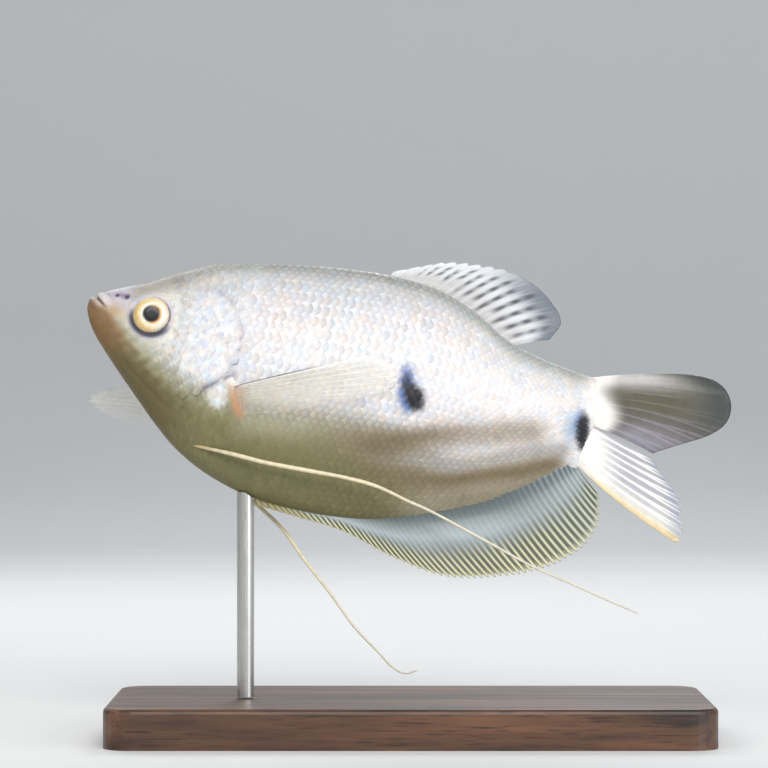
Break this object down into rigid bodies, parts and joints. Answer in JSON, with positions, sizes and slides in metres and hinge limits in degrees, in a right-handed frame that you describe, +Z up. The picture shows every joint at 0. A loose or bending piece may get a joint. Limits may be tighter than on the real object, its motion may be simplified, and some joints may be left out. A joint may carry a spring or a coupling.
{
  "type": "gourami model",
  "caption": "Life-size still model of a deep-bodied labyrinth fish with trailing thread-like pelvic fins, swimming nose-up on a flat base with one rod.",
  "frame": {"origin": "centre of the stand base's flat underside", "axes": "+X towards the tail along the base's length, +Z up, +Y towards the fish's right flank across the base"},
  "size_m": [0.1141, 0.046, 0.083],
  "materials": {
    "skin": "wet silvery scaled skin",
    "eye": "clear wet eye with a pale gold iris",
    "fin": "thin translucent rayed membrane",
    "feeler": "cream thread-like fin",
    "stand_wood": "dark satin walnut",
    "stand_steel": "brushed steel rod"
  },
  "bodies": {
    "root": {"head": "skin", "gill_cover_left": "skin", "gill_cover_right": "skin", "trunk": "skin", "tail_stem": "skin", "eye_left": "eye", "eye_right": "eye", "dorsal_fin": "fin", "anal_fin": "fin", "tail_fin_upper": "fin", "tail_fin_lower": "fin", "pectoral_fin_left": "fin", "pectoral_fin_right": "fin", "pelvic_feeler_left_root": "feeler", "pelvic_feeler_left_middle": "feeler", "pelvic_feeler_left_tip": "feeler", "pelvic_feeler_right_root": "feeler", "pelvic_feeler_right_middle": "feeler", "pelvic_feeler_right_tip": "feeler", "stand_base": "stand_wood", "stand_rod": "stand_steel"}
  },
  "joints": []
}
